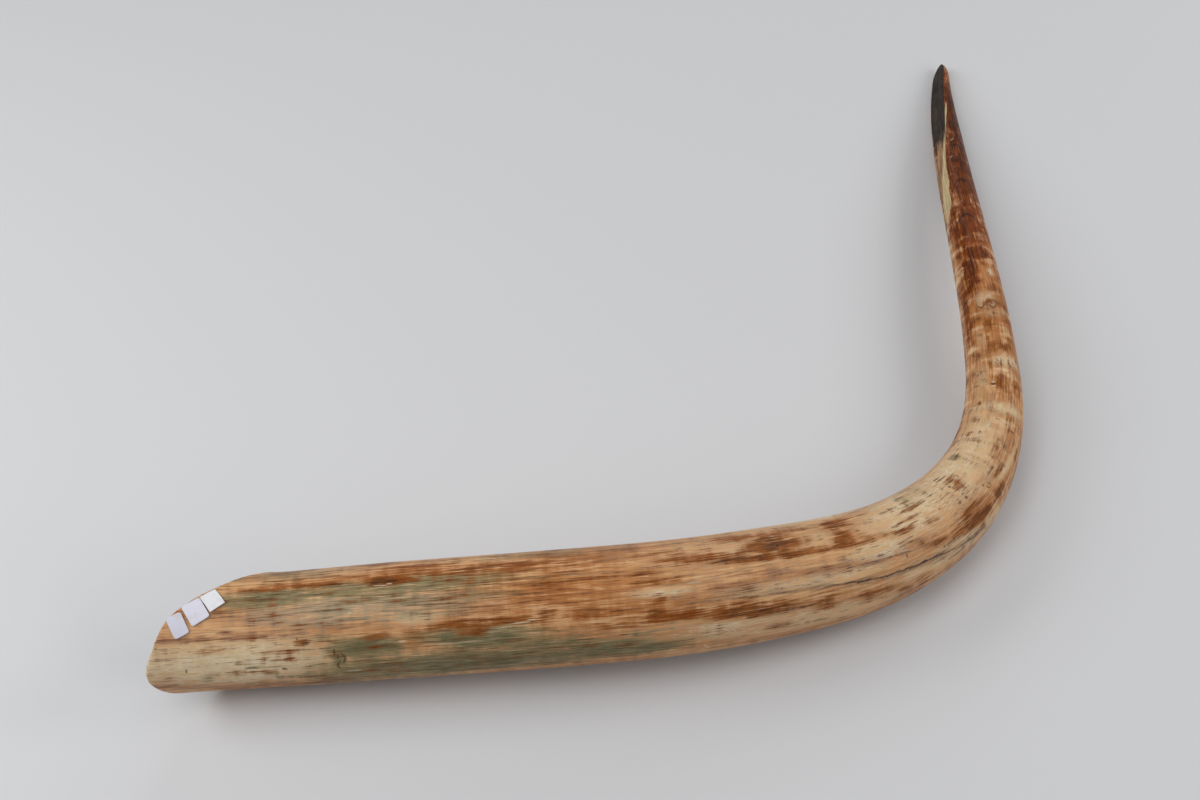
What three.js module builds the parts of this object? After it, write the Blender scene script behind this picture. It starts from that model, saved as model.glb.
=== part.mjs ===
// A mammoth tusk lying on a table, with three small paper labels stuck near its root.
// Millimetres. The lower run points along +X, the tip along +Y, and the table is the plane z = 0.
// The tusk's centre line is a smooth curve through a few stations, each with its distance along the
// tusk from the root, its heading, its girth and how far its underside is lifted off the table.

import * as THREE from "three";
import { mergeVertices } from "three/addons/utils/BufferGeometryUtils.js";

// Driving dimensions of the tusk. heading is in degrees from +X towards +Y.
const GROWTH = [
  { along: -60, heading: 3, diameter: 83, lift: 0 },
  { along: 90, heading: 4, diameter: 83.2, lift: 0 },
  { along: 170, heading: 3.5, diameter: 84.5, lift: 3 },
  { along: 320, heading: 5.5, diameter: 85, lift: 7 },
  { along: 420, heading: 12.5, diameter: 84, lift: 4.5 },
  { along: 500, heading: 19, diameter: 79, lift: 1 },
  { along: 560, heading: 33, diameter: 72.5, lift: 0 },
  { along: 620, heading: 50, diameter: 63.5, lift: 0 },
  { along: 680, heading: 68.5, diameter: 52, lift: 5 },
  { along: 740, heading: 86, diameter: 44, lift: 15 },
  { along: 800, heading: 89.5, diameter: 40, lift: 20 },
  { along: 900, heading: 90.5, diameter: 34.8, lift: 18 },
  { along: 1000, heading: 88.5, diameter: 29.8, lift: 9 },
  { along: 1080, heading: 86.5, diameter: 23.2, lift: 2 },
  { along: 1130, heading: 83, diameter: 17.2, lift: 0 },
  { along: 1160, heading: 78, diameter: 15, lift: 0 },
];
const LENGTH = 1154;
const ROOT_AT = new THREE.Vector2(-389.8, -305.3);
const RESTING_FLAT = 0.6;

// The blunt tip, and the flat that wear has ground on the side of it.
const TIP_ROUNDING = 22;
const TIP_POINTEDNESS = 0.6;
const WEAR = { length: 190, angle: -57, leftAtTip: 1, leftAtEnd: 16 };

// The root's rim stands back by this much from its furthest point. angle is in degrees round the
// section from its top towards the outside of the tusk's curve.
const RIM = [
  { angle: -95, back: 98 },
  { angle: -60, back: 84 },
  { angle: -44, back: 70 },
  { angle: -22, back: 50 },
  { angle: -4, back: 31 },
  { angle: 15, back: 16.5 },
  { angle: 42, back: 7 },
  { angle: 75, back: 0 },
  { angle: 95, back: 5 },
  { angle: 120, back: 17 },
  { angle: 150, back: 35 },
  { angle: 180, back: 55 },
  { angle: 220, back: 82 },
  { angle: 265, back: 98 },
];
const RIM_REACH = 200;
const RIM_WALL = 5.5;
const RIM_ROUNDING = 1.6;
const RIM_SHOULDER = 0.3;

// The pulp cavity, a cone that starts inside the rim.
const CAVITY_DEPTH = 400;
const CAVITY_FULLNESS = 0.85;

// Paper labels: where the middle of each lies along the tusk and round it, in millimetres of arc
// from the top of the section, and its turn from the tusk's length in degrees.
const LABELS = [
  { name: "paper_label_upper", along: 49, around: -2.8, width: 15, height: 12.3, turn: 56, corner: 0.4 },
  { name: "paper_label_middle", along: 37.7, around: 5.5, width: 17.2, height: 14.2, turn: 60, corner: 1.8 },
  { name: "paper_label_lower", along: 25.5, around: 14.9, width: 16.4, height: 11.2, turn: 65, corner: 2 },
];
const PAPER = 0.3;
const PAPER_GAP = 0.35;
const PAPER_CELLS = 6;

const IVORY_COLOUR = 0xb88f66;
const IVORY_ROUGHNESS = 0.45;
const PAPER_COLOUR = 0xe4e2ee;
const PAPER_ROUGHNESS = 0.8;

// How finely the solids are faceted. TIP_ROWS are shares of the tip's rounding.
const FACETS_AROUND = 36;
const STRAIGHT_STEP = 18;
const BEND_STEP = 10;
const BEND_FROM = 420;
const BEND_TO = 800;
const TIP_STEP = 10;
const TIP_FROM = 960;
const TIP_ROWS = [0, 0.35, 0.62, 0.82, 0.93, 0.985];
const TRACE_STEP = 2;
const CAVITY_ROWS = 14;
const SAME_POINT = 1e-4;

const degrees = THREE.MathUtils.degToRad;

// A smooth curve through the rows of a table, read at any place along it.
function smooth(rows, place, ...names) {
  const places = rows.map((row) => row[place]);
  const values = rows.flatMap((row) => names.map((name) => row[name]));
  const curve = new THREE.CubicInterpolant(places, values, names.length);
  return (at) => Array.from(curve.evaluate(at));
}

const grown = smooth(GROWTH, "along", "heading", "diameter", "lift");
const rimBack = smooth(RIM, "angle", "back");

// The centre line, traced in short steps from the root to the tip.
function traceCentreLine() {
  const first = GROWTH[0].along;
  const points = [];
  const spot = ROOT_AT.clone();
  let height = 0;
  for (let along = first; along <= LENGTH + TRACE_STEP; along += TRACE_STEP) {
    const [heading, diameter, lift] = grown(along);
    const newHeight = diameter / 2 + lift - RESTING_FLAT;
    if (along > first) {
      const run = Math.sqrt(TRACE_STEP ** 2 - (newHeight - height) ** 2);
      spot.x += run * Math.cos(degrees(heading));
      spot.y += run * Math.sin(degrees(heading));
    }
    height = newHeight;
    points.push(new THREE.Vector3(spot.x, spot.y, height));
  }
  return points;
}

const centreLine = traceCentreLine();

// The centre of the section at a place along the tusk, with its upward and outward directions.
function section(along) {
  const place = (along - GROWTH[0].along) / TRACE_STEP;
  const index = THREE.MathUtils.clamp(Math.floor(place), 1, centreLine.length - 3);
  const share = place - index;
  const centre = centreLine[index].clone().lerp(centreLine[index + 1], share);
  const before = centreLine[index].clone().sub(centreLine[index - 1]);
  const after = centreLine[index + 2].clone().sub(centreLine[index + 1]);
  const forward = before.lerp(after, share).normalize();
  const outward = forward.clone().cross(new THREE.Vector3(0, 0, 1)).normalize();
  const upward = outward.clone().cross(forward);
  return { centre, upward, outward };
}

// The radius of the outside, drawn in to a blunt point over the last stretch.
function outerRadius(along) {
  const [, diameter] = grown(along);
  const pastRounding = Math.max(0, (along - (LENGTH - TIP_ROUNDING)) / TIP_ROUNDING);
  return (diameter / 2) * (1 - pastRounding ** 2) ** TIP_POINTEDNESS;
}

// How far a section reaches towards the worn side of the tip, at most.
function wearLimit(along) {
  const share = (LENGTH - along) / WEAR.length;
  return THREE.MathUtils.lerp(WEAR.leftAtTip, WEAR.leftAtEnd, Math.min(share, 1));
}

// A point at a distance out from the centre line, pressed flat where it meets the table.
function tuskPoint(along, angle, out) {
  const { centre, upward, outward } = section(along);
  let up = out * Math.cos(degrees(angle));
  let side = out * Math.sin(degrees(angle));
  if (along > LENGTH - WEAR.length) {
    const wornUp = Math.cos(degrees(WEAR.angle));
    const wornSide = Math.sin(degrees(WEAR.angle));
    const excess = Math.max(0, up * wornUp + side * wornSide - wearLimit(along));
    up -= excess * wornUp;
    side -= excess * wornSide;
  }
  const point = centre.addScaledVector(upward, up).addScaledVector(outward, side);
  point.z = Math.max(point.z, 0);
  return point;
}

// Rows from the rim to the tip, closer together round the bend and at the tip.
function outerRows() {
  const rows = [];
  let along = RIM_ROUNDING * 2;
  while (along < LENGTH - TIP_ROUNDING) {
    rows.push(along);
    const bend = along > BEND_FROM && along < BEND_TO;
    along += along > TIP_FROM ? TIP_STEP : bend ? BEND_STEP : STRAIGHT_STEP;
  }
  for (const share of TIP_ROWS) {
    rows.push(LENGTH - TIP_ROUNDING * (1 - share));
  }
  return rows;
}

// The section of the tusk before it is bent, from the cavity's point round the rim to the tip.
function tuskProfile() {
  const profile = [];
  const rim = outerRadius(0);
  const mouth = rim - RIM_WALL;
  for (let row = CAVITY_ROWS; row >= 0; row -= 1) {
    const share = row / CAVITY_ROWS;
    const along = THREE.MathUtils.lerp(RIM_ROUNDING, CAVITY_DEPTH, share);
    profile.push(new THREE.Vector2(mouth * (1 - share) ** CAVITY_FULLNESS, along));
  }
  profile.push(new THREE.Vector2(mouth + RIM_ROUNDING, 0));
  profile.push(new THREE.Vector2(rim - RIM_ROUNDING, 0));
  const shoulder = RIM_ROUNDING * RIM_SHOULDER;
  profile.push(new THREE.Vector2(rim - shoulder, shoulder));
  for (const along of outerRows()) {
    profile.push(new THREE.Vector2(outerRadius(along), along));
  }
  profile.push(new THREE.Vector2(0, LENGTH));
  return profile;
}

// Near the root the rows lean back with the rim.
function leanBack(along, angle) {
  if (along >= RIM_REACH) {
    return along;
  }
  const [back] = rimBack(angle < RIM[0].angle ? angle + 360 : angle);
  return back + (along / RIM_REACH) * (RIM_REACH - back);
}

function bareGeometry(geometry) {
  geometry.deleteAttribute("normal");
  geometry.deleteAttribute("uv");
  const merged = mergeVertices(geometry, SAME_POINT);
  merged.computeVertexNormals();
  return merged;
}

// The whole tusk, turned about an axis with a flat facet below, then bent along the centre line.
function makeTusk() {
  const halfFacet = Math.PI / FACETS_AROUND;
  const turned = bareGeometry(new THREE.LatheGeometry(tuskProfile(), FACETS_AROUND, halfFacet));
  const spots = turned.attributes.position;
  for (let i = 0; i < spots.count; i += 1) {
    const straight = new THREE.Vector3().fromBufferAttribute(spots, i);
    const out = Math.hypot(straight.x, straight.z);
    const angle = THREE.MathUtils.radToDeg(Math.atan2(straight.x, straight.z));
    const bent = tuskPoint(leanBack(straight.y, angle), angle, out);
    spots.setXYZ(i, bent.x, bent.y, bent.z);
  }
  turned.computeVertexNormals();
  const finish = { color: IVORY_COLOUR, roughness: IVORY_ROUGHNESS, metalness: 0 };
  const ivory = new THREE.MeshStandardMaterial(finish);
  const tusk = new THREE.Mesh(turned, ivory);
  tusk.name = "tusk";
  return tusk;
}

// A small sheet of paper that follows the round of the tusk, a hair above it.
function makeLabel({ name, along, around, width, height, turn, corner }) {
  const sheet = bareGeometry(new THREE.BoxGeometry(width, height, PAPER, PAPER_CELLS, PAPER_CELLS, 1));
  const spots = sheet.attributes.position;
  const cut = corner * (1 - Math.SQRT1_2);
  for (let i = 0; i < spots.count; i += 1) {
    const flat = new THREE.Vector3().fromBufferAttribute(spots, i);
    const onSide = Math.abs(flat.x) > width / 2 - SAME_POINT;
    const onEnd = Math.abs(flat.y) > height / 2 - SAME_POINT;
    const atCorner = onSide && onEnd;
    const x = flat.x - (atCorner ? Math.sign(flat.x) * cut : 0);
    const y = flat.y - (atCorner ? Math.sign(flat.y) * cut : 0);
    const lean = degrees(turn);
    const place = along + x * Math.cos(lean) + y * Math.sin(lean);
    const arc = around + x * Math.sin(lean) - y * Math.cos(lean);
    const radius = outerRadius(place);
    const angle = THREE.MathUtils.radToDeg(arc / radius);
    const stuck = tuskPoint(place, angle, radius + PAPER_GAP + PAPER / 2 + flat.z);
    spots.setXYZ(i, stuck.x, stuck.y, stuck.z);
  }
  sheet.computeVertexNormals();
  const finish = { color: PAPER_COLOUR, roughness: PAPER_ROUGHNESS, metalness: 0 };
  const paper = new THREE.MeshStandardMaterial(finish);
  const label = new THREE.Mesh(sheet, paper);
  label.name = name;
  return label;
}

const group = new THREE.Group();
group.add(makeTusk());
for (const label of LABELS) {
  group.add(makeLabel(label));
}

export default group;
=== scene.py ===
import math

import bmesh
import bpy
import numpy as np
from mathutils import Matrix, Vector, noise


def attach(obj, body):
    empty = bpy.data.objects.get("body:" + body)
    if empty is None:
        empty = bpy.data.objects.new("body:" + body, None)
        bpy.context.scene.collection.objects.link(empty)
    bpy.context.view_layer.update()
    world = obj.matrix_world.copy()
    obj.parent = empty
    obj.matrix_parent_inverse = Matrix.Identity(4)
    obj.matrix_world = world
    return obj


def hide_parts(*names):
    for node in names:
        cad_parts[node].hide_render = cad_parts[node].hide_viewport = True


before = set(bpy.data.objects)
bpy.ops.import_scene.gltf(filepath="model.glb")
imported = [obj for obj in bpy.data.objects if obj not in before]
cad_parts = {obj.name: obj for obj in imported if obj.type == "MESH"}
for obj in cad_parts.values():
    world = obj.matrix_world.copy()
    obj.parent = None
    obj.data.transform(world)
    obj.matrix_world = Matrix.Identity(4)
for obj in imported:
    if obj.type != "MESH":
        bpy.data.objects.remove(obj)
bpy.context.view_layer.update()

# The camera stands in front of the tusk and looks down on it, past the thick lower run to the tip.
# It is the photograph's own viewpoint, with an ordinary 50 mm lens.
CAMERA_AT = (-0.0093, -0.8869, 1.0971)
CAMERA_DIP = 52.94
CAMERA_TURN = 0.08
LENS = 50
SENSOR = 36

lens = bpy.data.cameras.new("camera")
lens.lens = LENS
lens.sensor_width = SENSOR
lens.sensor_fit = "HORIZONTAL"
camera = bpy.data.objects.new("camera", lens)
camera.location = CAMERA_AT
camera.rotation_euler = (math.radians(90 - CAMERA_DIP), 0, math.radians(CAMERA_TURN))
bpy.context.scene.collection.objects.link(camera)
bpy.context.scene.camera = camera


# The table is a wide sheet of matt pale board. It only carries the tusk and takes its soft shadow.
# The wires below let shader maths be written as plain sums and products.
TABLE_SIZE = 8.0
TABLE_BELOW = 0.0002
TABLE_COLOUR = (0.70, 0.705, 0.72, 1)


class Wire:
    """The output of a shader node, which can be used in sums and products."""

    def __init__(self, tree, socket=None):
        self.tree = tree
        self.socket = socket

    def node(self, kind, settings, inputs, output=0):
        """A new node with its settings and inputs, as a wire from one of its outputs."""
        made = self.tree.nodes.new(kind)
        for name, value in settings.items():
            setattr(made, name, value)
        for name, value in inputs.items():
            if isinstance(value, Wire):
                self.tree.links.new(value.socket, made.inputs[name])
            else:
                made.inputs[name].default_value = value
        return Wire(self.tree, made.outputs[output] if len(made.outputs) else None)

    def maths(self, operation, first, second=0.0):
        return self.node("ShaderNodeMath", {"operation": operation}, {0: first, 1: second})

    def __add__(self, other):
        return self.maths("ADD", self, other)

    def __radd__(self, other):
        return self.maths("ADD", other, self)

    def __sub__(self, other):
        return self.maths("SUBTRACT", self, other)

    def __rsub__(self, other):
        return self.maths("SUBTRACT", other, self)

    def __mul__(self, other):
        return self.maths("MULTIPLY", self, other)

    def __rmul__(self, other):
        return self.maths("MULTIPLY", other, self)

    def __abs__(self):
        return self.maths("ABSOLUTE", self)

    def most(self, other):
        return self.maths("MAXIMUM", self, other)

    def rise(self, low, high, at_low=0.0, at_high=1.0):
        """A soft step from at_low to at_high as this value goes from low to high."""
        settings = {"interpolation_type": "SMOOTHSTEP"}
        inputs = {0: self, 1: low, 2: high, 3: at_low, 4: at_high}
        return self.node("ShaderNodeMapRange", settings, inputs)

    def between(self, start, end):
        """A colour that goes from start to end as this value goes from 0 to 1."""
        return self.node("ShaderNodeMix", {"data_type": "RGBA"}, {0: self, 6: start, 7: end}, 2)

    def over(self, colour, cover):
        """This colour with another laid over it, where cover is 1."""
        return cover.between(self, colour)


def new_material(name):
    made = bpy.data.materials.new(name)
    made.use_nodes = True
    made.node_tree.nodes.clear()
    return made, Wire(made.node_tree)


def finish_material(wires, shader):
    wires.node("ShaderNodeOutputMaterial", {}, {"Surface": shader})


def new_piece(name, mesh, material):
    mesh.materials.append(material)
    mesh.shade_smooth()
    piece = bpy.data.objects.new(name, mesh)
    bpy.context.scene.collection.objects.link(piece)
    return piece


board, wires = new_material("pale board")
board_shader = wires.node(
    "ShaderNodeBsdfPrincipled", {}, {"Base Color": TABLE_COLOUR, "Roughness": 0.75}
)
finish_material(wires, board_shader)

sheet = bmesh.new()
bmesh.ops.create_grid(sheet, x_segments=1, y_segments=1, size=TABLE_SIZE / 2)
bmesh.ops.translate(sheet, verts=sheet.verts, vec=(0, 0, -TABLE_BELOW))
table_mesh = bpy.data.meshes.new("table")
sheet.to_mesh(table_mesh)
sheet.free()
table = new_piece("table", table_mesh, board)


# Softboxes stand all round, as at a product table. The two strongest are at the front left and the
# left, with weaker ones at the right, behind and overhead. A dim pale room fills what they leave.
ROOM_COLOUR = (0.94, 0.96, 1.0, 1)
ROOM_STRENGTH = 0.06
LIGHT_AIM = (0.0, -0.1, 0.0)
LIGHTS = [
    {"name": "front left panel", "at": (-0.75, -0.7, 1.6), "size": 1.0, "power": 11.3},
    {"name": "left softbox", "at": (-1.55, 0.0, 1.1), "size": 0.8, "power": 11.3},
    {"name": "right softbox", "at": (1.6, 0.0, 1.0), "size": 0.8, "power": 6.9},
    {"name": "front right softbox", "at": (1.16, -1.16, 0.95), "size": 0.8, "power": 5.1},
    {"name": "back right softbox", "at": (1.16, 1.16, 0.95), "size": 0.8, "power": 4.6},
    {"name": "back softbox", "at": (0.0, 1.65, 0.95), "size": 0.8, "power": 5.5},
    {"name": "overhead panel", "at": (0.0, 0.0, 1.9), "size": 1.3, "power": 2.8},
]

room = bpy.data.worlds.new("pale room")
room.use_nodes = True
bpy.context.scene.world = room
background = room.node_tree.nodes["Background"]
background.inputs["Color"].default_value = ROOM_COLOUR
background.inputs["Strength"].default_value = ROOM_STRENGTH
for facts in LIGHTS:
    lamp = bpy.data.lights.new(facts["name"], "AREA")
    lamp.size = facts["size"]
    lamp.energy = facts["power"]
    holder = bpy.data.objects.new(facts["name"], lamp)
    holder.location = facts["at"]
    aim = Vector(LIGHT_AIM) - Vector(facts["at"])
    holder.rotation_euler = aim.to_track_quat("-Z", "Y").to_euler()
    bpy.context.scene.collection.objects.link(holder)
bpy.context.scene.view_settings.view_transform = "Standard"


# The tusk grew as one piece of ivory, so it is one skin from the bottom of its pulp cavity, round
# the open rim of the root and along the bend to the worn tip. Its centre line runs through the
# stations below: distance from the root in mm, heading in degrees, diameter and lift in mm.
MM = 0.001
GROWTH = np.array([
    (-60, 3, 83, 0),
    (90, 4, 83.2, 0),
    (170, 3.5, 84.5, 3),
    (320, 5.5, 85, 7),
    (420, 12.5, 84, 4.5),
    (500, 19, 79, 1),
    (560, 33, 72.5, 0),
    (620, 50, 63.5, 0),
    (680, 68.5, 52, 5),
    (740, 86, 44, 15),
    (800, 89.5, 40, 20),
    (900, 90.5, 34.8, 18),
    (1000, 88.5, 29.8, 9),
    (1080, 86.5, 23.2, 2),
    (1130, 83, 17.2, 0),
    (1160, 78, 15, 0),
])
TUSK_LENGTH = 1154
ROOT_AT = (-389.8, -305.3)
RESTING_FLAT = 0.6
TIP_ROUNDING = 22
TIP_POINTEDNESS = 0.6
WEAR_LENGTH = 190
WEAR_ANGLE = math.radians(-57)
WEAR_LEFT = (1, 16)
TRACE_STEP = 2

# The rim of the root stands back by this many mm at these angles. Angles go round the section in
# degrees from its top, positive towards the outside of the tusk's curve.
RIM = np.array([
    (-95, 98),
    (-60, 84),
    (-44, 70),
    (-22, 50),
    (-4, 31),
    (15, 16.5),
    (42, 7),
    (75, 0),
    (95, 5),
    (120, 17),
    (150, 35),
    (180, 55),
    (220, 82),
    (265, 98),
])
RIM_REACH = 200
RIM_WALL = 5.5
RIM_ROUNDING = 1.6
CAVITY_DEPTH = 400
CAVITY_FULLNESS = 0.85


def smooth_curve(places, values, at):
    """A smooth curve through the rows of a table, read at many places at once."""
    last = len(places) - 1
    spot = np.clip(np.searchsorted(places, at, side="right"), 1, last)
    start = places[spot - 1]
    end = places[spot]
    before = np.where(spot > 1, places[np.maximum(spot - 2, 0)], 2 * start - end)
    after = np.where(spot < last, places[np.minimum(spot + 1, last)], 2 * end - start)
    value_before = np.where(spot > 1, values[np.maximum(spot - 2, 0)], values[spot])
    value_after = np.where(spot < last, values[np.minimum(spot + 1, last)], values[spot - 1])
    half = (end - start) / 2
    pull_before = half / (start - before)
    pull_after = half / (after - end)
    p = (at - start) / (end - start)
    p2 = p * p
    p3 = p2 * p
    share_before = pull_before * (-p3 + 2 * p2 - p)
    share_start = (1 + pull_before) * p3 + (-1.5 - 2 * pull_before) * p2 + (pull_before - 0.5) * p + 1
    share_end = (-1 - pull_after) * p3 + (1.5 + pull_after) * p2 + 0.5 * p
    share_after = pull_after * (p3 - p2)
    return (
        share_before * value_before
        + share_start * values[spot - 1]
        + share_end * values[spot]
        + share_after * value_after
    )


def grown(column, along):
    return smooth_curve(GROWTH[:, 0], GROWTH[:, column], along)


def trace_centre_line():
    along = np.arange(GROWTH[0, 0], TUSK_LENGTH + TRACE_STEP + 0.5, TRACE_STEP)
    heading = np.radians(grown(1, along))
    height = grown(2, along) / 2 + grown(3, along) - RESTING_FLAT
    run = np.sqrt(TRACE_STEP ** 2 - np.diff(height) ** 2)
    east = ROOT_AT[0] + np.concatenate([[0], np.cumsum(run * np.cos(heading[1:]))])
    north = ROOT_AT[1] + np.concatenate([[0], np.cumsum(run * np.sin(heading[1:]))])
    return np.stack([east, north, height], axis=1)


centre_line = trace_centre_line()


def unit(vectors):
    return vectors / np.linalg.norm(vectors, axis=1, keepdims=True)


def section(along):
    """The middle of the tusk at these places along it, with the upward and outward directions."""
    place = (along - GROWTH[0, 0]) / TRACE_STEP
    index = np.clip(np.floor(place).astype(int), 1, len(centre_line) - 3)
    share = (place - index)[:, None]
    middle = centre_line[index] * (1 - share) + centre_line[index + 1] * share
    before = centre_line[index] - centre_line[index - 1]
    after = centre_line[index + 2] - centre_line[index + 1]
    forward = unit(before * (1 - share) + after * share)
    outward = unit(np.cross(forward, (0, 0, 1)))
    return middle, np.cross(outward, forward), outward


def outer_radius(along):
    past = np.clip((along - (TUSK_LENGTH - TIP_ROUNDING)) / TIP_ROUNDING, 0, 1)
    return grown(2, along) / 2 * (1 - past ** 2) ** TIP_POINTEDNESS


def wear_limit(along):
    share = np.clip((TUSK_LENGTH - along) / WEAR_LENGTH, 0, 1)
    return WEAR_LEFT[0] + (WEAR_LEFT[1] - WEAR_LEFT[0]) * share


def tusk_point(along, angle, out):
    """Points in metres at a distance in mm from the centre line, worn at the tip and flat below."""
    middle, upward, outward = section(along)
    up = out * np.cos(angle)
    side = out * np.sin(angle)
    worn_up = math.cos(WEAR_ANGLE)
    worn_side = math.sin(WEAR_ANGLE)
    excess = np.maximum(0, up * worn_up + side * worn_side - wear_limit(along))
    excess = np.where(along > TUSK_LENGTH - WEAR_LENGTH, excess, 0)
    up = up - excess * worn_up
    side = side - excess * worn_side
    point = middle + upward * up[:, None] + outward * side[:, None]
    point[:, 2] = np.maximum(point[:, 2], 0)
    return point * MM


def lean_back(along, angle):
    degrees = np.degrees(angle)
    degrees = np.where(degrees < RIM[0, 0], degrees + 360, degrees)
    back = smooth_curve(RIM[:, 0], RIM[:, 1], degrees)
    return np.where(along < RIM_REACH, back + along / RIM_REACH * (RIM_REACH - back), along)


# The tusk's skin is a profile spun about a straight axis, then bent along the centre line.
SPIN_STEPS = 140
CAVITY_ROWS = 44
STRAIGHT_ROW = 2.8
BEND_ROW = 1.9
BEND_FROM = 440
TIP_ROWS = 14

mouth = outer_radius(np.array([0.0]))[0] - RIM_WALL
rim_outside = mouth + RIM_WALL
profile = []
for row in range(CAVITY_ROWS, -1, -1):
    share = row / CAVITY_ROWS
    depth = RIM_ROUNDING + (CAVITY_DEPTH - RIM_ROUNDING) * share
    profile.append((mouth * (1 - share) ** CAVITY_FULLNESS, depth))
for turn in (30, 60, 90):
    lip = math.radians(turn)
    profile.append((mouth + RIM_ROUNDING * math.sin(lip), RIM_ROUNDING * (1 - math.sin(lip))))
profile.append((mouth + RIM_WALL / 2, 0))
for turn in (0, 30, 60, 90):
    lip = math.radians(turn)
    inside = rim_outside - RIM_ROUNDING
    profile.append((inside + RIM_ROUNDING * math.sin(lip), RIM_ROUNDING * (1 - math.cos(lip))))
along = RIM_ROUNDING + STRAIGHT_ROW
while along < TUSK_LENGTH - TIP_ROUNDING:
    profile.append((outer_radius(np.array([along]))[0], along))
    along += STRAIGHT_ROW if along < BEND_FROM else BEND_ROW
for row in range(TIP_ROWS):
    along = TUSK_LENGTH - TIP_ROUNDING + TIP_ROUNDING * math.sin(math.pi / 2 * row / TIP_ROWS)
    profile.append((outer_radius(np.array([along]))[0], along))
profile.append((0, TUSK_LENGTH))

skin = bmesh.new()
line = [skin.verts.new((out, length, 0)) for out, length in profile]
for first, second in zip(line, line[1:]):
    skin.edges.new((first, second))
bmesh.ops.spin(
    skin,
    geom=list(skin.verts) + list(skin.edges),
    cent=(0, 0, 0),
    axis=(0, 1, 0),
    angle=2 * math.pi,
    steps=SPIN_STEPS,
    use_merge=True,
)
bmesh.ops.remove_doubles(skin, verts=skin.verts, dist=0.0001)
bmesh.ops.recalc_face_normals(skin, faces=skin.faces)
tusk_mesh = bpy.data.meshes.new("tusk_skin")
skin.to_mesh(tusk_mesh)
skin.free()

straight = np.zeros(len(tusk_mesh.vertices) * 3)
tusk_mesh.vertices.foreach_get("co", straight)
straight = straight.reshape(-1, 3)
out = np.hypot(straight[:, 0], straight[:, 2])
angle = np.arctan2(straight[:, 0], straight[:, 2])
along = lean_back(straight[:, 1], angle)
outside = out > outer_radius(straight[:, 1]) - RIM_ROUNDING - 0.01
outside |= straight[:, 1] > CAVITY_DEPTH + 1
degrees = np.degrees(angle)

# Old ivory is never quite even. It swells and sinks in long waves, has shallow grooves along it and
# fine growth ripples across it, and dents and pits where it was knocked or has weathered. The thin
# end and the rim are smoother.
PITS = [
    # along, angle, half length and half width in mm, depth in mm
    (137, 70, 3.0, 9.0, 0.7),
    (135, 57, 2.2, 5.0, 0.5),
    (141, 63, 1.8, 5.0, 0.5),
    (75, 70, 5.0, 2.2, 0.5),
    (97, 73, 2.6, 2.6, 0.6),
    (29, 68, 1.4, 3.0, 0.4),
    (172, -11, 12.0, 5.0, 0.6),
    (282, 33, 7.0, 6.0, 0.5),
    (225, 42, 18.0, 5.0, 0.4),
    (355, 44, 6.0, 6.0, 0.4),
    (448, -12, 13.0, 6.0, 0.5),
    (412, 52, 20.0, 4.0, 0.4),
    (603, 52, 16.0, 5.0, 0.4),
    (638, -33, 4.0, 5.0, 0.4),
    (803, -20, 1.8, 3.2, 0.6),
    (802.5, 7, 1.8, 3.6, 0.6),
    (726, -12, 2.0, 1.8, 0.6),
    (908, -24, 5.0, 3.0, 0.4),
    (955, 0, 6.0, 4.0, 0.4),
]
WAVE = {"length": 90, "across": 26, "depth": 0.8, "seed": 3.7}
GROOVE = {"length": 160, "across": 4.2, "depth": 0.34, "seed": 11.3}
RIPPLE = {"length": 9.5, "across": 30, "depth": 0.3, "seed": 23.9}
POCK = {"length": 5.5, "across": 3.2, "depth": 1, "seed": 41.1}
POCK_DEPTH = 0.4
POCK_THRESHOLD = (0.66, 0.85)
DENT_EDGE = (0.2, 1.2)
RIPPLES_GROW = (420, 700)
FULL_RELIEF_OUT = 40
LEAST_SLENDER = 0.15
SLENDER_FADE = 1.5
RELIEF_AT_RIM = 0.35
RIM_BAND = 14


def streak_noise(along, angle, out, length, across, seed):
    """Smooth random values from 0 to 1 in patches of this length and width in mm."""
    spots = np.stack([
        along / length + seed,
        out * np.cos(angle) / across,
        out * np.sin(angle) / across + seed,
    ], axis=1)
    return np.array([noise.noise(Vector(spot)) for spot in spots]) * 0.5 + 0.5


def soft_step(value, low, high):
    share = np.clip((value - low) / (high - low), 0, 1)
    return share * share * (3 - 2 * share)


def relief(kind):
    spread = streak_noise(along, angle, out, kind["length"], kind["across"], kind["seed"])
    return kind["depth"] * spread


waves = relief(WAVE)
grooves = relief(GROOVE)
ripples = relief(RIPPLE) * soft_step(along, *RIPPLES_GROW)
pocks = POCK_DEPTH * soft_step(relief(POCK), *POCK_THRESHOLD)
dents = np.zeros(len(out))
for at, around, half_length, half_width, depth in PITS:
    aside = np.radians(degrees - around) * out
    reach = np.hypot((along - at) / half_length, aside / half_width)
    dents = np.maximum(dents, depth * (1 - soft_step(reach, *DENT_EDGE)))
slender = np.clip(out / FULL_RELIEF_OUT, LEAST_SLENDER, 1) ** SLENDER_FADE
sunk = (waves + grooves + ripples + pocks) * slender + dents
past_rim = soft_step(straight[:, 1], 0, RIM_BAND)
skin_out = out - np.where(outside, sunk * (RELIEF_AT_RIM + (1 - RELIEF_AT_RIM) * past_rim), 0)

# The wall of the cavity has growth rings across it, which waver a little. The rim itself is worn
# back unevenly, in wide chips and narrow ones.
RING_DEPTH = 0.5
RING_TURN = 0.55
RING_WAVER = {"length": 60, "across": 20, "depth": 2, "seed": 5.5}
RINGS_START = (4, 20)
RINGLESS_POINT = 3
WIDE_CHIP = {"length": 20, "across": 5, "depth": 0.9, "seed": 61.7}
NARROW_CHIP = {"length": 9, "across": 2, "depth": 0.5, "seed": 7.9}

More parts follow.
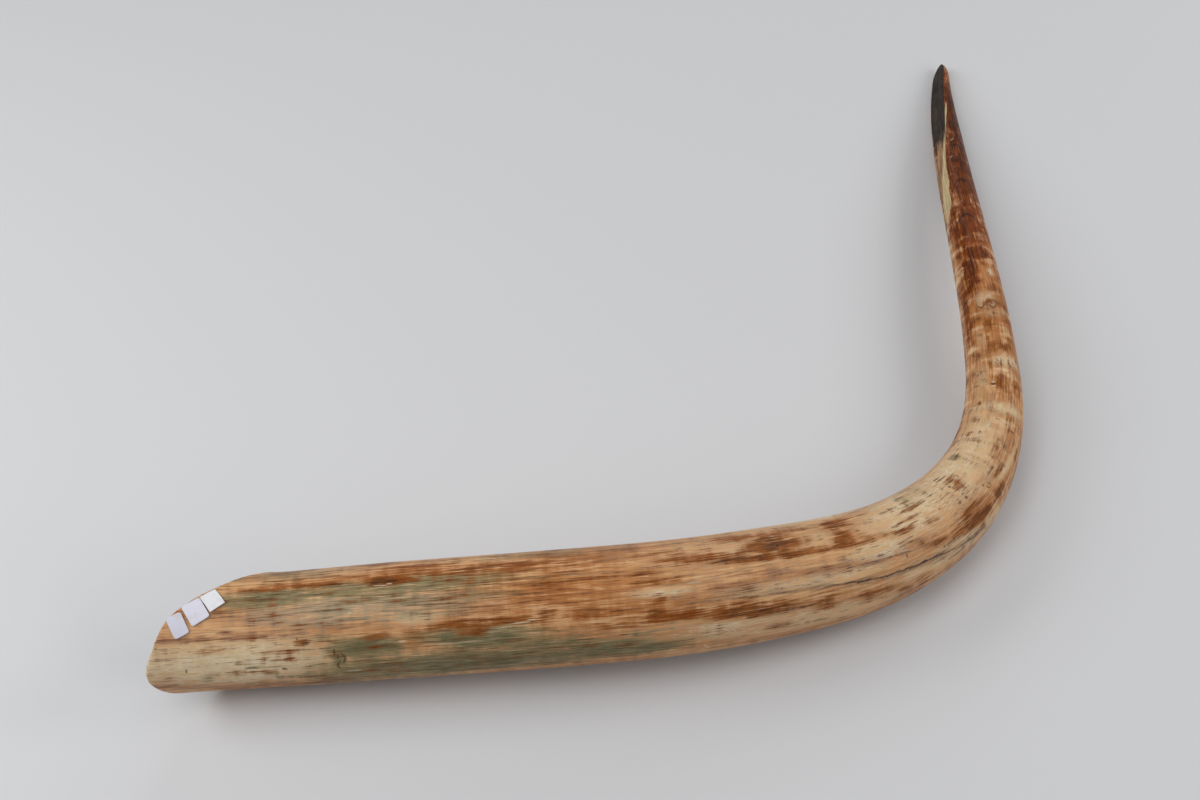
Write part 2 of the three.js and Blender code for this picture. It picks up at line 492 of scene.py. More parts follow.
rings = RING_DEPTH * np.sin(along * RING_TURN + relief(RING_WAVER))
rings *= soft_step(straight[:, 1], *RINGS_START) * (out > RINGLESS_POINT)
skin_out = np.where(outside, skin_out, skin_out + rings)
chipped = relief(WIDE_CHIP) + relief(NARROW_CHIP)
along = along + chipped * (1 - past_rim)
bent = tusk_point(along, angle, np.maximum(skin_out, 0))
tusk_mesh.vertices.foreach_set("co", bent.reshape(-1))


def keep_value(mesh, name, values):
    column = mesh.attributes.new(name, "FLOAT", "POINT")
    column.data.foreach_set("value", values.astype(np.float32))


# Where the ground it lay in has stained the ivory, and where a grey sheen is painted along the upper
# edges: along, angle, half length in mm, half width in degrees, slope in degrees for each mm along, and
# how much of the stain took.
STAINS_AND_SHEEN = {
    "amber": [
        (295, 0, 90, 46, 0, 0.95), (225, -24, 70, 9, 0, 0.75), (230, 38, 44, 6, 0, 0.8),
        (128, -20, 34, 11, 0, 0.7), (200, 52, 24, 9, 0, 0.7), (325, 42, 30, 14, 0, 0.7),
        (420, 0, 100, 24, 0.03, 0.45), (565, 32, 40, 14, 0.3, 0.6), (620, 46, 40, 14, 0.3, 0.55),
        (590, 12, 30, 12, 0, 0.35), (735, 5, 26, 34, 0, 0.5), (780, 0, 14, 50, 0, 0.5),
        (815, 5, 46, 110, 0, 1.3), (885, 15, 34, 90, 0, 1.5), (745, 0, 60, 120, 0, 0.75),
        (1112, 34, 26, 15, 0, 0.7), (940, 14, 20, 20, 0, 0.5), (120, 52, 40, 5, 0, 0.6),
        (66, -27, 26, 8, 0, 0.6),
    ],
    "cream": [
        (58, 64, 78, 25, 0, 1.5), (190, 30, 24, 8, 0, 0.8), (362, 23, 24, 5, 0, 0.95),
        (430, -10, 95, 32, 0.02, 0.60), (480, -52, 66, 13, 0, 0.9), (560, -12, 44, 50, 0, 1.0),
        (635, -20, 74, 48, 0, 1.0), (600, 72, 60, 14, 0.3, 1.0), (658, 48, 24, 7, 0.45, 0.9),
        (704, 0, 6, 60, 0, 1.0), (722, -35, 30, 20, 0, 0.6), (749, 24, 7, 42, 0, 1.0),
        (796, 4, 5, 30, 0, 0.6), (811, -4, 10, 26, 0, 0.9), (842, 22, 5, 12, 0, 0.9),
        (885, 17, 6, 16, 0, 0.9), (922, 20, 4, 16, 0, 0.8), (470, 36, 70, 9, 0.05, 0.85),
        (405, 66, 40, 8, 0.05, 0.9), (450, 76, 120, 16, 0.1, 0.75), (130, -38, 26, 12, 0, 0.5),
        (200, -52, 26, 12, 0, 0.5), (170, 66, 30, 3, 0, 0.8), (300, -2, 70, 4, 0.02, 0.45),
        (520, 22, 26, 16, 0.1, 0.95), (560, 66, 60, 12, 0.2, 0.8), (340, -45, 40, 10, 0, 0.4),
        (770, -30, 14, 14, 0, 0.6),
    ],
    # Grey: grey-green stains on the front, and a painted sheen in the rows at angles -42, -45 and -78,
    # which lie along the upper edges where light glances off the ivory.
    "grey_and_sheen": [
        (155, 14, 76, 17, 0, 1.1), (145, 40, 9, 5, 0, 0.6), (115, -42, 64, 16, 0, 0.7),
        (395, 16, 20, 4, 0, 0.75), (470, 22, 60, 4, 0.06, 0.5), (590, 72, 34, 9, 0.3, 0.6),
        (42, 80, 6, 7, 0, 0.8), (85, 8, 20, 8, 0, 0.5), (260, -45, 50, 10, 0, 0.5),
        (455, 41, 30, 2, 0.1, 0.5), (960, -78, 40, 14, 0, 0.5),
    ],
    "purple": [
        (50, 34, 56, 4, 0, 0.95), (455, 27, 78, 8, 0.05, 0.6), (515, 33, 18, 3, 0.1, 0.95),
        (430, 18, 34, 5, 0.05, 0.65), (600, 92, 110, 15, 0, 0.6), (95, 108, 66, 12, 0, 0.8),
        (560, 60, 34, 7, 0.3, 0.6), (12, 94, 16, 8, 0, 0.8), (348, -34, 16, 8, 0, 0.7),
        (445, -30, 26, 6, 0, 0.7), (830, 50, 30, 14, 0, 0.5), (230, 30, 20, 5, 0, 0.5),
    ],
    "olive": [
        (92, -3, 46, 10, 0, 1.3), (185, -5, 84, 10, 0, 1.3), (175, 16, 60, 18, 0, 0.6),
        (242, 12, 24, 9, 0, 0.7),
        (235, 52, 36, 12, 0, 1.8), (158, 55, 24, 11, 0, 1.7), (137, 66, 5, 12, 0, 1.3),
        (218, 83, 88, 16, 0, 1.8), (205, 70, 70, 5, 0, 0.9), (280, 66, 34, 7, 0, 1.3),
        (322, 73, 26, 6, 0, 1.6), (336, 83, 38, 8, 0, 1.7), (352, 63, 18, 3, 0, 0.75),
        (300, 92, 26, 8, 0, 0.8), (638, -36, 5, 13, 0, 0.95), (572, -25, 18, 14, 0, 0.5),
        (250, -32, 34, 5, 0, 0.6), (180, 100, 80, 16, 0, 0.75), (126, 42, 14, 5, 0, 0.5),
        (75, 68, 6, 3, 0, 0.8), (43, 82, 5, 5, 0, 0.7), (560, -34, 3, 5, 0, 0.8),
        (80, -36, 60, 14, 0, 0.75), (262, -38, 60, 12, 0, 0.6),
    ],
    "brown": [
        (800, 0, 54, 220, 0, 0.34), (275, -6, 70, 30, 0, 0.42), (180, -30, 120, 22, 0, 0.34),
        (690, 0, 60, 220, 0, 0.2),
        (98, -15, 38, 3.5, 0, 0.95), (171, -12, 15, 7, 0, 1.7), (190, -32, 28, 5, 0, 0.75),
        (240, -19, 44, 5, 0, 0.9), (282, -22, 18, 5, 0, 0.75), (236, 38, 40, 6, 0, 0.9),
        (282, 34, 7, 8, 0, 1.1), (112, 45, 6, 4, 0, 0.9), (95, 53, 14, 3, 0, 0.8),
        (45, 47, 16, 3, 0, 0.7), (76, 74, 24, 2, 0, 0.6), (15, 78, 8, 6, 0, 0.6),
        (165, 44, 13, 4, 0, 0.8), (236, 47, 12, 7, 0, 0.9), (355, 45, 8, 8, 0, 1.1),
        (357, 33, 5, 3, 0, 0.9), (376, 48, 26, 4, 0, 0.85), (418, 53, 30, 8, 0.1, 1.25),
        (441, 54, 10, 4, 0, 1.0), (446, -11, 19, 11, 0, 1.6), (440, -27, 26, 5, 0, 0.9),
        (412, -32, 10, 7, 0, 0.8), (497, -25, 10, 10, 0, 1.25), (499, 0, 8, 12, 0, 1.2),
        (468, 5, 66, 4, 0.08, 0.9), (424, 1, 36, 5, 0.1, 1.05), (385, -9, 26, 5, 0.08, 0.9),
        (372, -19, 30, 4, 0.05, 0.8), (350, 3, 14, 4, 0, 0.75), (362, 13, 26, 3, 0, 0.85),
        (474, 61, 9, 9, 0, 0.95), (512, 66, 14, 8, 0.1, 0.9), (437, 77, 12, 5, 0, 0.85),
        (534, 79, 8, 4, 0.3, 0.9), (549, 78, 7, 9, 0, 0.8), (556, 33, 15, 7, 0.4, 0.75),
        (563, 42, 11, 4, 0, 0.8), (554, 2, 9, 3, 0, 0.9), (545, 13, 9, 4, 0, 1.0),
        (568, 18, 7, 6, 0, 0.85), (603, 53, 26, 10, 0.25, 1.1), (638, 58, 11, 11, 0.3, 1.0),
        (603, 35, 15, 4, 0, 1.0), (646, 36, 8, 4, 0, 1.0), (615, -8, 11, 11, 0, 0.55),
        (664, 18, 16, 14, 0, 0.75), (692, 27, 9, 10, 0, 0.9), (672, 60, 6, 5, 0, 0.9),
        (728, 10, 14, 28, 0, 0.75), (726, 42, 5, 12, 0, 0.8), (763, 12, 5, 38, 0, 0.8),
        (785, -5, 5, 22, 0, 1.0), (775, 32, 5, 22, 0, 0.75), (770, -15, 10, 6, 0, 0.8),
        (823, 16, 5, 24, 0, 0.9), (747, -18, 18, 5, 0, 0.7), (707, -35, 3, 5, 0, 0.9),
        (300, 40, 34, 6, 0, 0.6), (850, 8, 8, 14, 0, 0.5), (620, -58, 30, 8, 0, 0.3),
        (520, 5, 16, 3, 0.2, 0.7), (330, 52, 14, 6, 0, 0.6), (670, -37, 3, 4, 0, 0.7),
    ],
    "deep": [
        (846, -33, 24, 24, 0, 1.3), (808, -62, 36, 16, 0, 1.0), (864, -8, 9, 44, 0, 1.4),
        (905, -8, 40, 70, 0, 1.15), (985, 20, 66, 110, 0, 1.5), (1056, 50, 70, 70, 0, 2.0),
        (1000, 170, 150, 90, 0, 1.0), (856, 46, 12, 16, 0, 0.8),
    ],
}
STAIN_FADE = 0.7
STAIN_EDGE = 2.4

for kind, spots in STAINS_AND_SHEEN.items():
    taken = np.zeros(len(out))
    for at, around, half_length, half_width, slope, share in spots:
        turned = (degrees - around + 180) % 360 - 180
        reach = np.hypot((along - at) / half_length, (turned - slope * (along - at)) / half_width)
        taken = np.maximum(taken, share * np.exp(-STAIN_FADE * reach ** STAIN_EDGE))
    keep_value(tusk_mesh, "stain_" + kind, np.where(outside, taken, 0))

# The worn side of the tip is bare and grey-black, with a pale stripe of fresh ivory along its edge
# and a tan layer between the two. The shaft is the thin end past the bend, and the sides turned
# away are those that have no stains of their own in the table above.
STRIPE = np.array([
    # along, angle, half width in degrees
    (905, -76, 7),
    (935, -63, 17),
    (960, -52, 13),
    (985, -44, 8.5),
    (1000, -40, 7),
    (1030, -26, 5.5),
    (1060, -7, 4.5),
    (1078, 4, 2.5),
    (1110, 14, 1),
])
STRIPE_COMES = (900, 930)
STRIPE_GOES = (1070, 1092)
TAN_TURN = 21
TAN_HALF = 17
TAN_COMES = (925, 965)
TAN_GOES = (1060, 1100)
SOFT_EDGE = 1.5
WORN_EDGE = 14
WORN_COMES = (975, 1070)
SHAFT_COMES = (560, 760)
AWAY_INSIDE = (55, 80)
AWAY_OUTSIDE = (105, 130)

stripe_middle = np.interp(along, STRIPE[:, 0], STRIPE[:, 1])
stripe_half = np.interp(along, STRIPE[:, 0], STRIPE[:, 2])
from_stripe = degrees - stripe_middle
on_stripe = np.clip(SOFT_EDGE - np.abs(from_stripe) / stripe_half, 0, 1)
on_stripe *= soft_step(along, *STRIPE_COMES) * (1 - soft_step(along, *STRIPE_GOES))
on_tan = np.clip(SOFT_EDGE - np.abs(from_stripe + TAN_TURN) / TAN_HALF, 0, 1)
on_tan *= soft_step(along, *TAN_COMES) * (1 - soft_step(along, *TAN_GOES))
keep_value(tusk_mesh, "tan", np.where(outside, on_tan, 0))
turned_from_wear = np.abs((degrees - math.degrees(WEAR_ANGLE) + 180) % 360 - 180)
worn_share = wear_limit(along) / np.maximum(outer_radius(along), 1)
half_worn = np.degrees(np.arccos(np.clip(worn_share, -1, 1)))
half_worn = np.where(along > TUSK_LENGTH - WEAR_LENGTH, half_worn, 0)
worn = np.clip((half_worn - turned_from_wear) / WORN_EDGE + 0.5, 0, 1)
worn *= soft_step(along, *WORN_COMES)
keep_value(tusk_mesh, "stripe", np.where(outside, on_stripe, 0))
keep_value(tusk_mesh, "worn", np.where(outside, worn, 0))
keep_value(tusk_mesh, "shaft", soft_step(along, *SHAFT_COMES) * outside)
keep_value(tusk_mesh, "inside", np.where(outside, 0, 1))
turned_away = np.maximum(soft_step(-degrees, *AWAY_INSIDE), soft_step(degrees, *AWAY_OUTSIDE))
keep_value(tusk_mesh, "away", turned_away * outside)

# Two drying cracks run along the bend, each through points given as along and angle. The skin keeps
# how far in mm it lies to either side of each.
CRACKS = {
    "crack": [
        (405, 34), (430, 38), (455, 43), (472, 43), (487, 46), (500, 48), (515, 51), (532, 53),
        (550, 55), (562, 59), (575, 63), (592, 70), (610, 76),
    ],
    "split": [(478, 34), (500, 31), (520, 33), (545, 37)],
}
FAR_FROM_CRACK = 99

for name, points in CRACKS.items():
    places = np.array([at for at, around in points])
    arounds = np.array([around for at, around in points])
    offset = np.radians(degrees - np.interp(along, places, arounds)) * out
    past_end = np.maximum(np.maximum(places[0] - along, along - places[-1]), 0)
    away_from_crack = np.sign(offset) * np.hypot(offset, past_end)
    keep_value(tusk_mesh, name, np.where(outside, away_from_crack, FAR_FROM_CRACK))

# The grain follows the ivory as it grew: where each point lay before the tusk curved.
grain = np.stack([along, out * np.cos(angle), out * np.sin(angle)], axis=1)
kept_grain = tusk_mesh.attributes.new("grain", "FLOAT_VECTOR", "POINT")
kept_grain.data.foreach_set("vector", grain.reshape(-1).astype(np.float32))
unrolled = np.stack([along, degrees, out], axis=1)
kept_unrolled = tusk_mesh.attributes.new("unrolled", "FLOAT_VECTOR", "POINT")
kept_unrolled.data.foreach_set("vector", unrolled.reshape(-1).astype(np.float32))

# Small marks with a clear outline: along, angle, half length in mm, half width in degrees, slope in
# mm for each degree, how far the ends bow towards the tip in mm, and how strong the mark is.
DARK_MARKS = [
    (802, -20, 0.8, 9, 0, 3.2, 1.0), (801.5, 7, 0.8, 10, 0, 3.4, 1.0), (726, -12, 1.0, 4, 0, 0, 0.9),
    (602, -5, 1.4, 2, 0, 0, 0.9), (605, 20, 1.6, 2, 0, 0, 1.0), (597, 20, 1.6, 1.2, 0, 0, 0.9),
    (627, 34, 0.8, 3.2, 0, 2.4, 0.9), (631, 33, 0.7, 2.6, 0, -2.4, 0.8), (625, 27, 1.0, 1.6, 0, 0, 0.9),
    (653, 30, 0.7, 2.8, 0, 2.2, 0.6), (706, -47, 0.7, 4, 0, 0, 0.6), (707, -35, 1.1, 3, 0, 0, 0.7),
    (726, -48, 0.9, 5, 0, 0, 0.7), (731, -30, 0.8, 3, 0, 0, 0.6), (686, 36, 1.0, 4, 0, 0, 0.8),
    (668, -38, 0.8, 3, 0, 2.0, 0.7), (673, -32, 1.2, 2, 0, 0, 0.7), (29, 68, 0.8, 3, 0, 0, 0.8),
    (75, 69, 5, 1.4, -0.5, 0, 0.8), (97, 73, 1.8, 2.0, 0.4, 0, 0.9), (134, 58, 0.9, 4, 0, 0, 0.7),
    (141, 65, 1.1, 6, 0, -2, 0.8), (135, 74, 1.1, 5, 0, 2, 0.8), (136, 63, 0.8, 3, 0, 0, 0.6),
    (115, 46, 3, 1.4, 0.3, 0, 0.8), (109, 41, 1.2, 1.6, 0, 0, 0.7), (448, -9, 1.2, 1.6, 0, 0, 0.9),
    (912, -10, 1.8, 40, 0, -17, 1.0), (960, 3, 1.9, 44, 0, -22, 1.0),
    (1008, -4, 1.7, 30, 0.5, -12, 0.9),
    (976, -8, 1.0, 26, 0.2, -9, 0.7), (568, 52, 0.8, 2, 0, 0, 0.7), (538, 39, 0.9, 2.4, 0, 0, 0.8),
    (470, 82, 3, 0.8, 0, 0, 0.7), (416, 84, 3, 0.8, 0, 0, 0.6), (561, -18, 0.8, 4, 0, 0, 0.7),
    (562, -38, 0.8, 4, 0, 0, 0.6), (692, 4, 0.6, 5, 0, 0, 0.6), (617, -9, 0.9, 1.6, 0, 0, 0.8),
    (640, -36, 1.6, 9, 0, 0, 0.5), (579, 10, 1.2, 1.6, 0, 0, 0.5), (588, 27, 1.4, 1.4, 0, 0, 0.6),
    (645, 25, 1.2, 1.8, 0, 0, 0.6), (610, 8, 0.9, 1.4, 0, 0, 0.6), (1045, 14, 1.2, 20, 0.4, -4, 0.7),
]
PALE_MARKS = [
    (168, -7, 5, 0.7, 0.6, 0, 1.0), (174, -8.5, 2, 0.8, 0, 0, 1.0), (265, 41, 6, 0.7, -2, 0, 1.0),
    (272, 39, 3, 0.6, 1.5, 0, 1.0), (804.4, -20, 0.8, 8, 0, 3.2, 0.45),
    (804, 7, 0.8, 9, 0, 3.4, 0.45),
    (724, -12, 0.7, 5, 0, 0, 0.9), (728, -12, 0.7, 5, 0, 0, 0.9),
    (145, 82, 6, 0.9, 0, 0, 0.8), (425, 83, 0.8, 4, 0.6, 0, 0.6), (408, 73, 0.7, 3, 0.6, 0, 0.6),
    (390, 93, 0.7, 4, 0.6, 0, 0.7), (182, 51, 3, 0.9, 0, 0, 0.8), (147, 20, 1.6, 0.8, 0, 0, 0.8),
    (348, 93, 0.8, 4, 0.6, 0, 0.6), (842, 20, 3, 5, 0, 0, 0.6), (930, 16, 2.4, 3, 0, 0, 0.5),
    (1020, 0, 1.2, 8, 0.3, 0, 0.5), (994, -14, 1.0, 6, 0.3, 0, 0.5), (384, 18, 5, 0.7, 0.5, 0, 0.6),
]

ivory, wires = new_material("old ivory")
grain_place = wires.node("ShaderNodeAttribute", {"attribute_name": "grain"}, {}, "Vector")
unrolled_place = wires.node("ShaderNodeAttribute", {"attribute_name": "unrolled"}, {}, "Vector")


def coordinate(place, axis):
    """How far a place lies along one axis."""
    return wires.node(
        "ShaderNodeVectorMath", {"operation": "DOT_PRODUCT"}, {0: place, 1: axis}, "Value"
    )


place_along = coordinate(unrolled_place, (1, 0, 0))


def kept(name):
    return wires.node("ShaderNodeAttribute", {"attribute_name": name}, {}, "Fac")


def streaks(length, across, seed, detail=3.0, roughness=0.55):
    """Noise from 0 to 1 drawn out along the ivory, in patches of this length and width in mm."""
    scaled = wires.node(
        "ShaderNodeVectorMath",
        {"operation": "MULTIPLY_ADD"},
        {0: grain_place, 1: (1 / length, 1 / across, 1 / across), 2: (seed, seed * 2.3, -seed)},
    )
    inputs = {"Vector": scaled, "Scale": 1.0, "Detail": detail, "Roughness": roughness}
    return wires.node("ShaderNodeTexNoise", {"noise_dimensions": "3D"}, inputs)


def rgb(red, green, blue):
    """A colour in the 0 to 255 that a paint chart gives, made linear."""
    levels = [level / 255 for level in (red, green, blue)]
    return tuple(((level + 0.055) / 1.055) ** 2.4 for level in levels) + (1,)


# The noises that the grain is made of, from broad patches to hairs and specks. Each is given by its
# length and width in mm, its seed, its detail and its roughness.
broad = streaks(130, 13, 1.3, 4.0, 0.6)
middling = streaks(34, 6.5, 15.7, 4.0, 0.65)
fibre = streaks(34, 2.1, 2.9, 4.0, 0.65)
thread = streaks(22, 0.9, 4.1, 3.0, 0.6)
hairs = streaks(26, 0.5, 6.7, 2.0)
mottle = streaks(9, 6, 8.3, 4.0, 0.65)
across = streaks(8, 26, 9.7, 2.6, 0.55)
clouds = streaks(26, 15, 33.9, 3.0, 0.6)
speckle = streaks(2.4, 1.6, 12.1, 3.0, 0.6)
shaft = kept("shaft")
inside = kept("inside")
away = kept("away")

# The ragged edge that every stain has: long and streaky on the thick run, in bands on the shaft.
ragged = (middling - 0.5) * 2.4 + (fibre - 0.5) * 2.0 + (thread - 0.5) * 2.0 + (across - 0.5) * 1.3
banded = (across - 0.5) * 2.0 + (mottle - 0.5) * 2.2 + (fibre - 0.5) * 1.5 + (thread - 0.5) * 0.8
edge = ragged * (1 - shaft) + banded * shaft
inner = (broad - 0.5) * 1.2 + (mottle - 0.5) * 1.5 + (thread - 0.5) * 1.7 + (fibre - 0.5) * 1.2

# Bare ivory first, light and darker tan, and then one coat for each stain; the grey coat is also a
# painted sheen where its rows lie along the upper edges. On the sides turned away the stains lie in
# patches of their own.
body = (broad - 0.5) * 1.8 + (fibre - 0.5) * 1.6 + (across - 0.5) * 0.8 + (middling - 0.5) * 0.8
colour = body.rise(-0.45, 0.45).between(rgb(216, 168, 120), rgb(172, 110, 62))
patch_a = streaks(60, 15, 20.3, 2.0, 0.6) * 2.0
patch_b = streaks(48, 18, 26.5, 2.0, 0.6) * 2.0
patch_c = streaks(74, 13, 32.7, 2.0, 0.6) * 2.0
COATS = [
    # stain, its colour, its colour at the heart, how much took on the sides turned away, how solid
    ("amber", rgb(182, 114, 58), rgb(146, 80, 32), patch_a - 0.56, 0.85),
    ("cream", rgb(216, 186, 144), rgb(240, 223, 190), 1.44 - patch_a, 0.95),
    # The grey coat: grey-green stain on the front, and a painted sheen along the upper edges.
    ("grey_and_sheen", rgb(172, 156, 130), rgb(144, 138, 116), patch_b - 0.80, 0.80),
    ("purple", rgb(154, 106, 82), rgb(112, 72, 58), 1.34 - patch_b, 0.80),
    ("olive", rgb(146, 132, 96), rgb(102, 100, 72), patch_c - 0.66, 0.95),
    ("brown", rgb(148, 84, 32), rgb(72, 36, 12), 1.36 - patch_c, 0.95),
    ("deep", rgb(136, 64, 12), rgb(50, 19, 3), 0.0, 1.0),
]
covers = {}
spreads = {}
for kind, tint, heart, wild, solid in COATS:
    spread = kept("stain_" + kind).most(away * wild)
    spreads[kind] = spread
    covers[kind] = (spread * 0.92 + edge * 0.80).rise(0.12, 0.98) * solid
    shade = (spread * 0.42 + inner).rise(0.05, 1.05)
    colour = colour.over(shade.between(tint, heart), covers[kind])

# Fine dark and pale streaks along the ivory lie over every stain, fewest where it is cream.
dark_lines = (thread + (fibre - 0.5) * 1.2).rise(0.54, 0.80)
lined = 0.44 - 0.16 * shaft + 0.36 * spreads["brown"] + 0.20 * spreads["purple"]
lined = lined - 0.34 * covers["cream"]
colour = colour.over(rgb(92, 48, 20), dark_lines * lined.most(0.0))
not_deep = 1 - covers["deep"]
pale_lines = (hairs * 0.5 + thread * 0.5 + (middling - 0.5) * 0.5).rise(0.44, 0.28)
colour = colour.over(rgb(240, 218, 184), pale_lines * (0.08 + 0.30 * not_deep))
tan_clouds = (clouds + (fibre - 0.5) * 0.5).rise(0.44, 0.72)
colour = colour.over(rgb(168, 112, 62), tan_clouds * (0.10 + 0.34 * shaft) * not_deep)
bands = (across + (mottle - 0.5) * 0.8 + (clouds - 0.5) * 0.6).rise(0.50, 0.84) * shaft
colour = colour.over(rgb(118, 62, 26), bands * (0.16 + 0.30 * not_deep))
pale_bands = across.rise(0.46, 0.30) * shaft * not_deep * (1 - 0.7 * covers["amber"])
colour = colour.over(rgb(236, 214, 176), pale_bands * 0.5)
specks = speckle.rise(0.62, 0.76) * middling.rise(0.50, 0.66)
colour = colour.over(rgb(92, 56, 30), specks * 0.4)

# The worn tip, the pale stripe beside it and the tan layer between them.
tan_cover = (kept("tan") + (fibre - 0.5) * 1.4 + (mottle - 0.5) * 0.8).rise(0.30, 0.65)
tan = fibre.rise(0.35, 0.62).between(rgb(176, 142, 104), rgb(122, 84, 54))
colour = colour.over(tan, tan_cover * 0.9)
stripe_cover = (kept("stripe") + (fibre - 0.5) * 1.2 + (mottle - 0.5) * 0.9).rise(0.30, 0.60)
pale_tan = thread.rise(0.35, 0.68).between(rgb(220, 200, 156), rgb(176, 150, 108))
colour = colour.over(pale_tan, stripe_cover * 0.95)
worn_cover = (kept("worn") + (mottle - 0.5) * 0.5 + (fibre - 0.5) * 0.4).rise(0.25, 0.75)
worn_tint = fibre.rise(0.35, 0.65).between(rgb(52, 44, 38), rgb(30, 26, 24))
colour = colour.over(worn_tint, worn_cover * 0.97)

# The cracks are drawn as dark grey lines, with brown dirt beside them. The longer one is widest and
# darkest in its middle.
CRACK_DEEPENS = (468, 492)
CRACK_FADES = (600, 560)
CRACK_HALF_WIDTH = (0.95, 0.3)
SPLIT_HALF_WIDTH = (0.6, 0.2)
DIRT_REACH = (5.0, 0.5)

wander = (mottle - 0.5) * 4.2 + (speckle - 0.5) * 1.8
crack_strength = place_along.rise(*CRACK_DEEPENS) * place_along.rise(*CRACK_FADES) * 0.75 + 0.25
crack_line = abs(kept("crack") + wander).rise(*CRACK_HALF_WIDTH)
crack = crack_line * (thread + 0.35).rise(0.66, 0.84) * crack_strength
split = abs(kept("split") + wander).rise(*SPLIT_HALF_WIDTH) * (mottle + 0.2).rise(0.60, 0.78)
cracked = crack.most(split * 0.6)
crack_dirt = abs(kept("crack") + wander * 1.6).rise(*DIRT_REACH) * fibre.rise(0.35, 0.6)
colour = colour.over(rgb(118, 88, 66), crack_dirt * 0.5)
colour = colour.over(rgb(66, 58, 54), cracked * 0.92)

MARK_EDGE = (1.25, 0.75)
wavering = (mottle - 0.5) * 0.9 + (speckle - 0.5) * 1.0


def marks(rows):
    """Above 0 inside any of these small marks, with a wavering edge."""
    found = 0.0
    for at, around, half_length, half_width, slope, bow, strength in rows:
        from_mark = wires.node(
            "ShaderNodeVectorMath",
            {"operation": "MULTIPLY_ADD"},
            {
                0: unrolled_place,
                1: (1 / half_length, 1 / half_width, 0),
                2: (-at / half_length, -around / half_width, 0),
            },
        )
        if slope or bow:
            turned = coordinate(from_mark, (0, 1, 0))
            lag = turned * (turned * (bow / half_length) + slope * half_width / half_length)
            lagging = wires.node("ShaderNodeCombineXYZ", {}, {"X": lag})
            from_mark = wires.node(
                "ShaderNodeVectorMath", {"operation": "SUBTRACT"}, {0: from_mark, 1: lagging}
            )
        reach = wires.node("ShaderNodeVectorMath", {"operation": "LENGTH"}, {0: from_mark}, "Value")
        found = (reach + wavering).rise(*MARK_EDGE, 0.0, strength).most(found)
    return found


dark_marks = marks(DARK_MARKS)
pale_marks = marks(PALE_MARKS)
colour = colour.over(rgb(226, 208, 178), pale_marks * 0.6)
colour = colour.over(rgb(46, 31, 21), dark_marks * 0.70)

# The cavity is brown with old dirt all over.
cavity_tint = mottle.rise(0.35, 0.7).between(rgb(120, 88, 58), rgb(84, 58, 38))
colour = colour.over(cavity_tint, inside)

# The ivory has a soft sheen, duller in the cracks, the cavity and the worn tip. Its grain stands up
# a little, and the cracks and specks are sunk in it.
BUMP_STRENGTH = 0.55
BUMP_HEIGHT = 0.0009
IVORY_IOR = 1.5
IVORY_SHEEN = 0.13

roughness = 0.42 + (fibre - 0.5) * 0.3 + (mottle - 0.5) * 0.3 + cracked * 0.2
roughness = roughness + kept("stain_olive") * 0.06 + inside * 0.3 + worn_cover * 0.15
height = (fibre - 0.5) * 0.5 + (thread - 0.5) * 0.3 + (hairs - 0.5) * 0.15 + (speckle - 0.5) * 0.2
height = height + (across - 0.5) * shaft * 0.8
height = height - cracked * 0.9 - specks * 0.25
bump = wires.node(
    "ShaderNodeBump", {}, {"Strength": BUMP_STRENGTH, "Distance": BUMP_HEIGHT, "Height": height}
)
ivory_shader = wires.node(
    "ShaderNodeBsdfPrincipled",
    {},
    {
        "Base Color": colour,
        "Roughness": roughness,
        "IOR": IVORY_IOR,
        "Specular IOR Level": IVORY_SHEEN,
        "Normal": bump,
    },
)
finish_material(wires, ivory_shader)
tusk = new_piece("tusk_skin", tusk_mesh, ivory)
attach(tusk, "root")
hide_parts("tusk")


# Three small paper labels are glued to the tusk near its root, one below the other. They are thin
# plain paper, blank, and bend with the round of the ivory.
LABELS = [
    {"name": "upper", "along": 49, "around": -2.8, "width": 15, "height": 12.3, "turn": 56,
     "corner": 0.4, "slot": "label_white", "tint": rgb(232, 233, 238)},
    {"name": "middle", "along": 37.7, "around": 5.5, "width": 17.2, "height": 14.2, "turn": 60,
     "corner": 1.8, "slot": "label_lilac", "tint": rgb(222, 221, 234)},
    {"name": "lower", "along": 25.5, "around": 14.9, "width": 16.4, "height": 11.2, "turn": 65,
     "corner": 2.0, "slot": "label_lilac", "tint": rgb(216, 215, 230)},
]
PAPER = 0.25
PAPER_GAP = 0.35
PAPER_CELLS = 22
PAPER_CURL = 0.12
CURLED_EDGE = 0.6
PAPER_GRIME = rgb(196, 186, 172)
FIBRES_PER_METRE = 900
GRIME_PER_METRE = 160

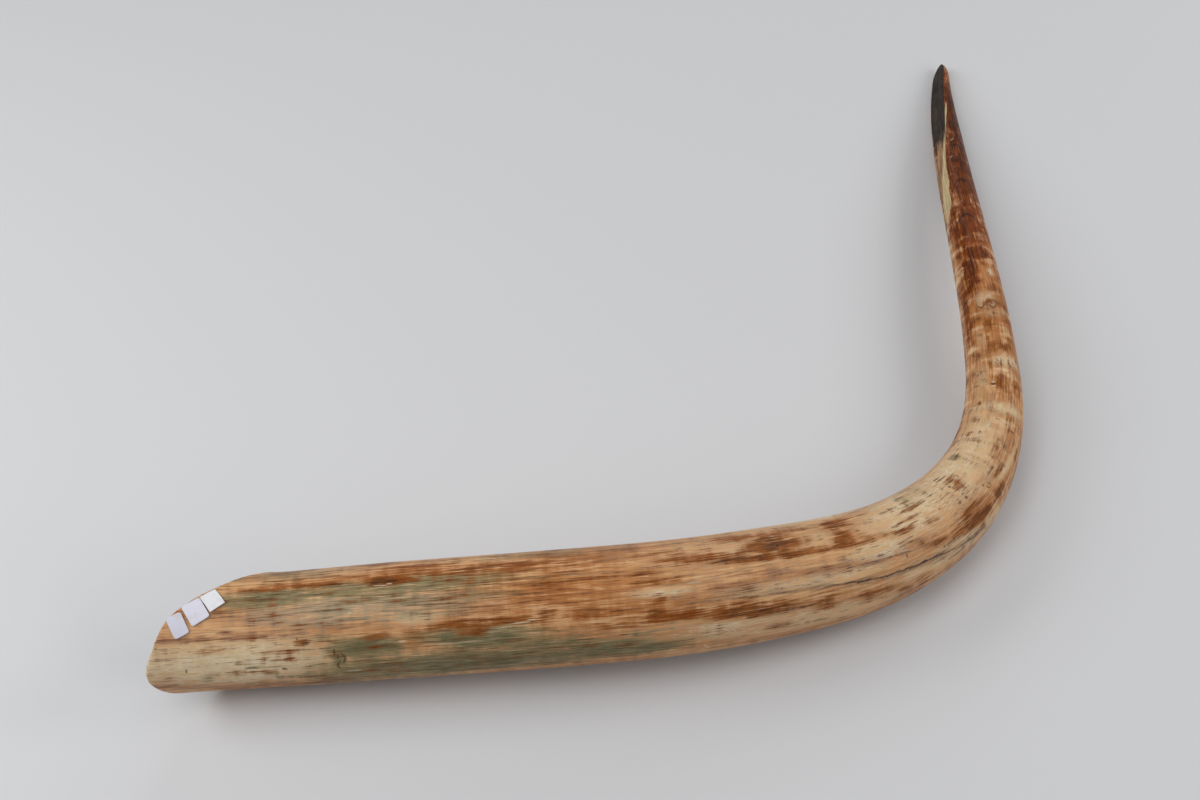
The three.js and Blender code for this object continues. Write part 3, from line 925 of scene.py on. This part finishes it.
for facts in LABELS:
    paper, wires = new_material("paper " + facts["name"])
    paper_place = wires.node("ShaderNodeTexCoord", {}, {}, "Object")
    fibres = wires.node(
        "ShaderNodeTexNoise", {}, {"Vector": paper_place, "Scale": FIBRES_PER_METRE, "Detail": 4.0}
    )
    grime = wires.node(
        "ShaderNodeTexNoise", {}, {"Vector": paper_place, "Scale": GRIME_PER_METRE, "Detail": 3.0}
    )
    paper_colour = (grime.rise(0.5, 0.75) * 0.35).between(facts["tint"], PAPER_GRIME)
    paper_bump = wires.node(
        "ShaderNodeBump", {}, {"Strength": 0.3, "Distance": 0.0002, "Height": fibres}
    )
    paper_shader = wires.node(
        "ShaderNodeBsdfPrincipled",
        {},
        {"Base Color": paper_colour, "Roughness": 0.8, "Normal": paper_bump},
    )
    finish_material(wires, paper_shader)

    leaf = bmesh.new()
    bmesh.ops.create_grid(leaf, x_segments=PAPER_CELLS, y_segments=PAPER_CELLS, size=0.5)
    half_width = facts["width"] / 2
    half_height = facts["height"] / 2
    corner = facts["corner"]
    for vert in leaf.verts:
        x = vert.co.x * facts["width"]
        y = vert.co.y * facts["height"]
        past_x = abs(x) - (half_width - corner)
        past_y = abs(y) - (half_height - corner)
        if past_x > 0 and past_y > 0:
            pull = max(past_x, past_y) / math.hypot(past_x, past_y)
            x = math.copysign(half_width - corner + past_x * pull, x)
            y = math.copysign(half_height - corner + past_y * pull, y)
        vert.co = (x, y, 0)
    bmesh.ops.recalc_face_normals(leaf, faces=leaf.faces)
    bmesh.ops.solidify(leaf, geom=leaf.faces, thickness=-PAPER)
    label_mesh = bpy.data.meshes.new("label_" + facts["name"])
    leaf.to_mesh(label_mesh)
    leaf.free()
    flat = np.zeros(len(label_mesh.vertices) * 3)
    label_mesh.vertices.foreach_get("co", flat)
    flat = flat.reshape(-1, 3)
    lean = math.radians(facts["turn"])
    label_along = facts["along"] + flat[:, 0] * math.cos(lean) + flat[:, 1] * math.sin(lean)
    label_arc = facts["around"] + flat[:, 0] * math.sin(lean) - flat[:, 1] * math.cos(lean)
    radius = outer_radius(label_along)
    near_edge = np.maximum(np.abs(flat[:, 0]) / half_width, np.abs(flat[:, 1]) / half_height)
    lift = PAPER_CURL * soft_step(near_edge, CURLED_EDGE, 1.0)
    stuck = tusk_point(label_along, label_arc / radius, radius + PAPER_GAP + lift + flat[:, 2])
    label_mesh.vertices.foreach_set("co", stuck.reshape(-1))
    label = new_piece("label_" + facts["name"], label_mesh, paper)
    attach(label, "root")
    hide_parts("paper_label_" + facts["name"])
